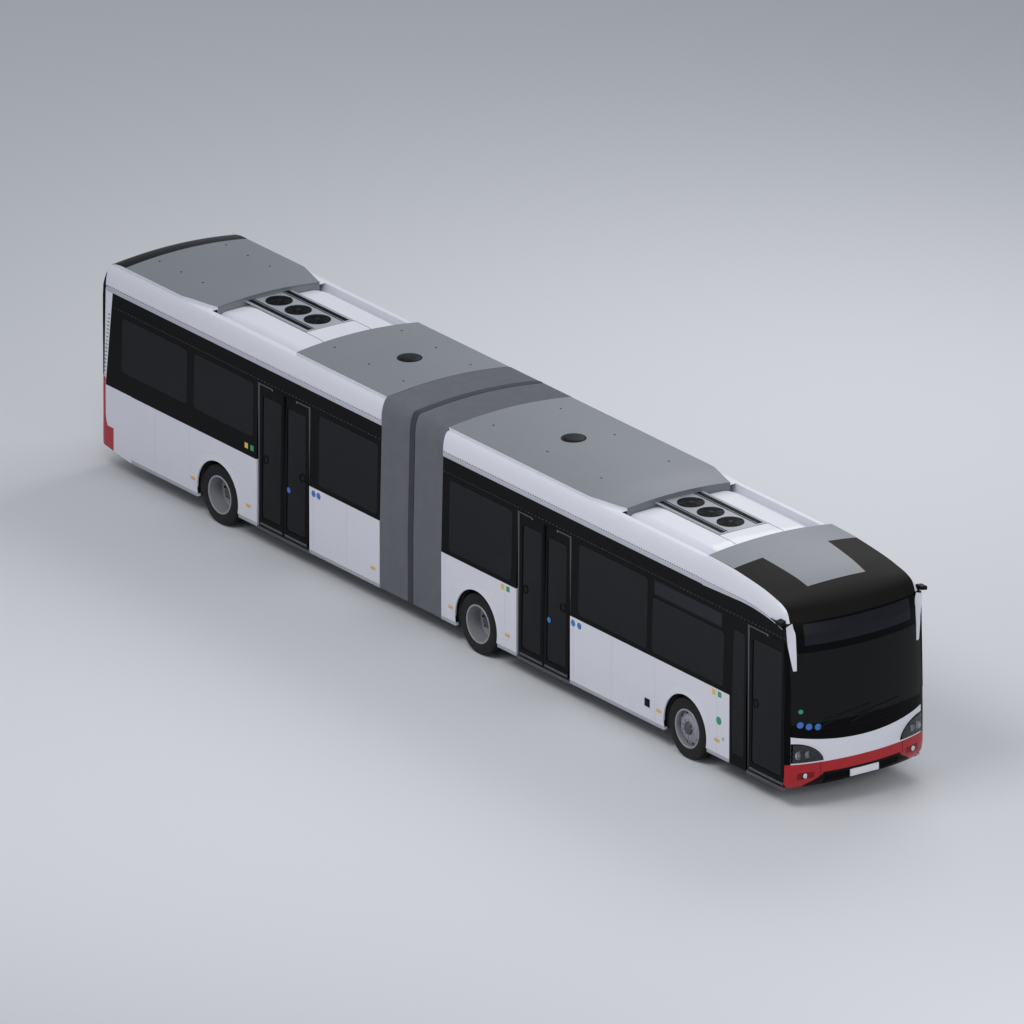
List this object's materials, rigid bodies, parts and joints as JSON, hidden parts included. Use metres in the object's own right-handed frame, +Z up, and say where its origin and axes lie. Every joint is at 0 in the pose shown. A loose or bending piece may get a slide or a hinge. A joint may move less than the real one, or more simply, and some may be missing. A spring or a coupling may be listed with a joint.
{
  "type": "articulated city bus",
  "caption": "Low-floor articulated city bus with turntable and bellows joint, steered front wheels, twin wheels behind, inward-gliding passenger doors.",
  "frame": {"origin": "on the ground, under the middle of the whole vehicle's box", "axes": "+X forward, +Y the bus's left, +Z up"},
  "size_m": [18.15, 2.694, 3.432],
  "materials": {
    "white_paint": "gloss",
    "black_gloss": "gloss",
    "red_paint": "gloss",
    "roof_grey": "satin",
    "tinted_glass": "gloss",
    "clear_lamp": "gloss",
    "red_lamp": "gloss",
    "chassis": "satin",
    "rim_steel": "satin",
    "tyre": "matt",
    "bellows_fabric": "matt",
    "seat_fabric": "matt",
    "trim_plastic": "matt"
  },
  "bodies": {
    "front_section": {"front_floor": "chassis", "front_wheel_boxes": "chassis", "front_lower_panels": "white_paint", "front_window_band": "black_gloss", "front_windows": "tinted_glass", "front_roof": "white_paint", "front_roof_covers": "roof_grey", "front_battery": "chassis", "front_air_unit": "white_paint", "front_dome": "black_gloss", "windscreen": "tinted_glass", "front_mask": "white_paint", "headlamps": "clear_lamp", "front_bumper": "red_paint", "wipers": "trim_plastic", "camera_pods": "trim_plastic", "dashboard": "trim_plastic", "front_seats": "seat_fabric", "front_axle": "chassis", "mid_axle": "chassis", "bellows_front": "bellows_fabric"},
    "articulation": {"turntable": "chassis", "bellows_rear": "bellows_fabric"},
    "rear_section": {"rear_floor": "chassis", "rear_lower_panels": "white_paint", "rear_window_band": "black_gloss", "rear_windows": "tinted_glass", "rear_roof": "white_paint", "rear_roof_covers": "roof_grey", "rear_batteries": "chassis", "rear_air_unit": "white_paint", "tail_panel": "white_paint", "tail_lamps": "red_lamp", "rear_bumper": "red_paint", "rear_seats": "seat_fabric", "rear_axle": "chassis"},
    "left_steering": {"left_knuckle": "chassis"},
    "right_steering": {"right_knuckle": "chassis"},
    "front_left_wheel": {"front_left_tyre": "tyre", "front_left_rim": "rim_steel"},
    "mid_left_wheel": {"mid_left_tyres": "tyre", "mid_left_rims": "rim_steel"},
    "rear_left_wheel": {"rear_left_tyres": "tyre", "rear_left_rims": "rim_steel"},
    "front_right_wheel": {"front_right_tyre": "tyre", "front_right_rim": "rim_steel"},
    "mid_right_wheel": {"mid_right_tyres": "tyre", "mid_right_rims": "rim_steel"},
    "rear_right_wheel": {"rear_right_tyres": "tyre", "rear_right_rims": "rim_steel"},
    "front_door_post": {"front_door_post": "trim_plastic"},
    "front_door_leaf": {"front_door_leaf": "black_gloss"},
    "mid_door_rear_post": {"mid_door_rear_post": "trim_plastic"},
    "mid_door_rear_leaf": {"mid_door_rear_leaf": "black_gloss"},
    "mid_door_front_post": {"mid_door_front_post": "trim_plastic"},
    "mid_door_front_leaf": {"mid_door_front_leaf": "black_gloss"},
    "rear_door_rear_post": {"rear_door_rear_post": "trim_plastic"},
    "rear_door_rear_leaf": {"rear_door_rear_leaf": "black_gloss"},
    "rear_door_front_post": {"rear_door_front_post": "trim_plastic"},
    "rear_door_front_leaf": {"rear_door_front_leaf": "black_gloss"}
  },
  "joints": [
    {"name": "hoop_yaw", "type": "hinge", "parent": "front_section", "child": "articulation", "pos_m": [-0.79, 0, 0.3], "axis": [0, 0, 1], "range_deg": [-25, 25], "deforming": ["bellows_front"]},
    {"name": "rear_yaw", "type": "hinge", "parent": "articulation", "child": "rear_section", "pos_m": [-0.79, 0, 0.3], "axis": [0, 0, 1], "range_deg": [-25, 25], "deforming": ["bellows_rear"]},
    {"name": "left_steer", "type": "hinge", "parent": "front_section", "child": "left_steering", "pos_m": [6.3, 0.98, 0.4785], "axis": [0, 0, 1], "range_deg": [-45, 45]},
    {"name": "right_steer", "type": "hinge", "parent": "front_section", "child": "right_steering", "pos_m": [6.3, -0.98, 0.4785], "axis": [0, 0, 1], "range_deg": [-45, 45]},
    {"name": "front_left_roll", "type": "hinge", "parent": "left_steering", "child": "front_left_wheel", "pos_m": [6.3, 1.117, 0.4785], "axis": [0, 1, 0], "continuous": true},
    {"name": "front_right_roll", "type": "hinge", "parent": "right_steering", "child": "front_right_wheel", "pos_m": [6.3, -1.117, 0.4785], "axis": [0, 1, 0], "continuous": true},
    {"name": "mid_left_roll", "type": "hinge", "parent": "front_section", "child": "mid_left_wheel", "pos_m": [0.93, 1.117, 0.4785], "axis": [0, 1, 0], "continuous": true},
    {"name": "mid_right_roll", "type": "hinge", "parent": "front_section", "child": "mid_right_wheel", "pos_m": [0.93, -1.117, 0.4785], "axis": [0, 1, 0], "continuous": true},
    {"name": "rear_left_roll", "type": "hinge", "parent": "rear_section", "child": "rear_left_wheel", "pos_m": [-5.855, 1.117, 0.4785], "axis": [0, 1, 0], "continuous": true},
    {"name": "rear_right_roll", "type": "hinge", "parent": "rear_section", "child": "rear_right_wheel", "pos_m": [-5.855, -1.117, 0.4785], "axis": [0, 1, 0], "continuous": true},
    {"name": "front_door_open", "type": "hinge", "parent": "front_section", "child": "front_door_post", "pos_m": [7.86, -1.23775, 1.4], "axis": [0, 0, 1], "range_deg": [0, 78]},
    {"name": "front_door_fold", "type": "hinge", "parent": "front_door_post", "child": "front_door_leaf", "pos_m": [8.335, -1.23775, 1.4], "axis": [0, 0, -1], "range_deg": [0, 156]},
    {"name": "mid_door_rear_open", "type": "hinge", "parent": "front_section", "child": "mid_door_rear_post", "pos_m": [1.985, -1.23775, 1.4], "axis": [0, 0, 1], "range_deg": [0, 78]},
    {"name": "mid_door_rear_fold", "type": "hinge", "parent": "mid_door_rear_post", "child": "mid_door_rear_leaf", "pos_m": [2.332, -1.23775, 1.4], "axis": [0, 0, -1], "range_deg": [0, 156]},
    {"name": "mid_door_front_open", "type": "hinge", "parent": "front_section", "child": "mid_door_front_post", "pos_m": [3.325, -1.23775, 1.4], "axis": [0, 0, -1], "range_deg": [0, 78]},
    {"name": "mid_door_front_fold", "type": "hinge", "parent": "mid_door_front_post", "child": "mid_door_front_leaf", "pos_m": [2.978, -1.23775, 1.4], "axis": [0, 0, 1], "range_deg": [0, 156]},
    {"name": "rear_door_rear_open", "type": "hinge", "parent": "rear_section", "child": "rear_door_rear_post", "pos_m": [-4.8, -1.23775, 1.4], "axis": [0, 0, 1], "range_deg": [0, 78]},
    {"name": "rear_door_rear_fold", "type": "hinge", "parent": "rear_door_rear_post", "child": "rear_door_rear_leaf", "pos_m": [-4.453, -1.23775, 1.4], "axis": [0, 0, -1], "range_deg": [0, 156]},
    {"name": "rear_door_front_open", "type": "hinge", "parent": "rear_section", "child": "rear_door_front_post", "pos_m": [-3.46, -1.23775, 1.4], "axis": [0, 0, -1], "range_deg": [0, 78]},
    {"name": "rear_door_front_fold", "type": "hinge", "parent": "rear_door_front_post", "child": "rear_door_front_leaf", "pos_m": [-3.807, -1.23775, 1.4], "axis": [0, 0, 1], "range_deg": [0, 156]}
  ],
  "couplings": [
    {"joint": "rear_yaw", "follows": "hoop_yaw", "ratio": 1},
    {"joint": "right_steer", "follows": "left_steer", "ratio": 1},
    {"joint": "front_door_fold", "follows": "front_door_open", "ratio": 2},
    {"joint": "mid_door_rear_fold", "follows": "mid_door_rear_open", "ratio": 2},
    {"joint": "mid_door_front_fold", "follows": "mid_door_rear_open", "ratio": 2},
    {"joint": "mid_door_front_open", "follows": "mid_door_rear_open", "ratio": 1},
    {"joint": "rear_door_rear_fold", "follows": "rear_door_rear_open", "ratio": 2},
    {"joint": "rear_door_front_fold", "follows": "rear_door_rear_open", "ratio": 2},
    {"joint": "rear_door_front_open", "follows": "rear_door_rear_open", "ratio": 1}
  ]
}
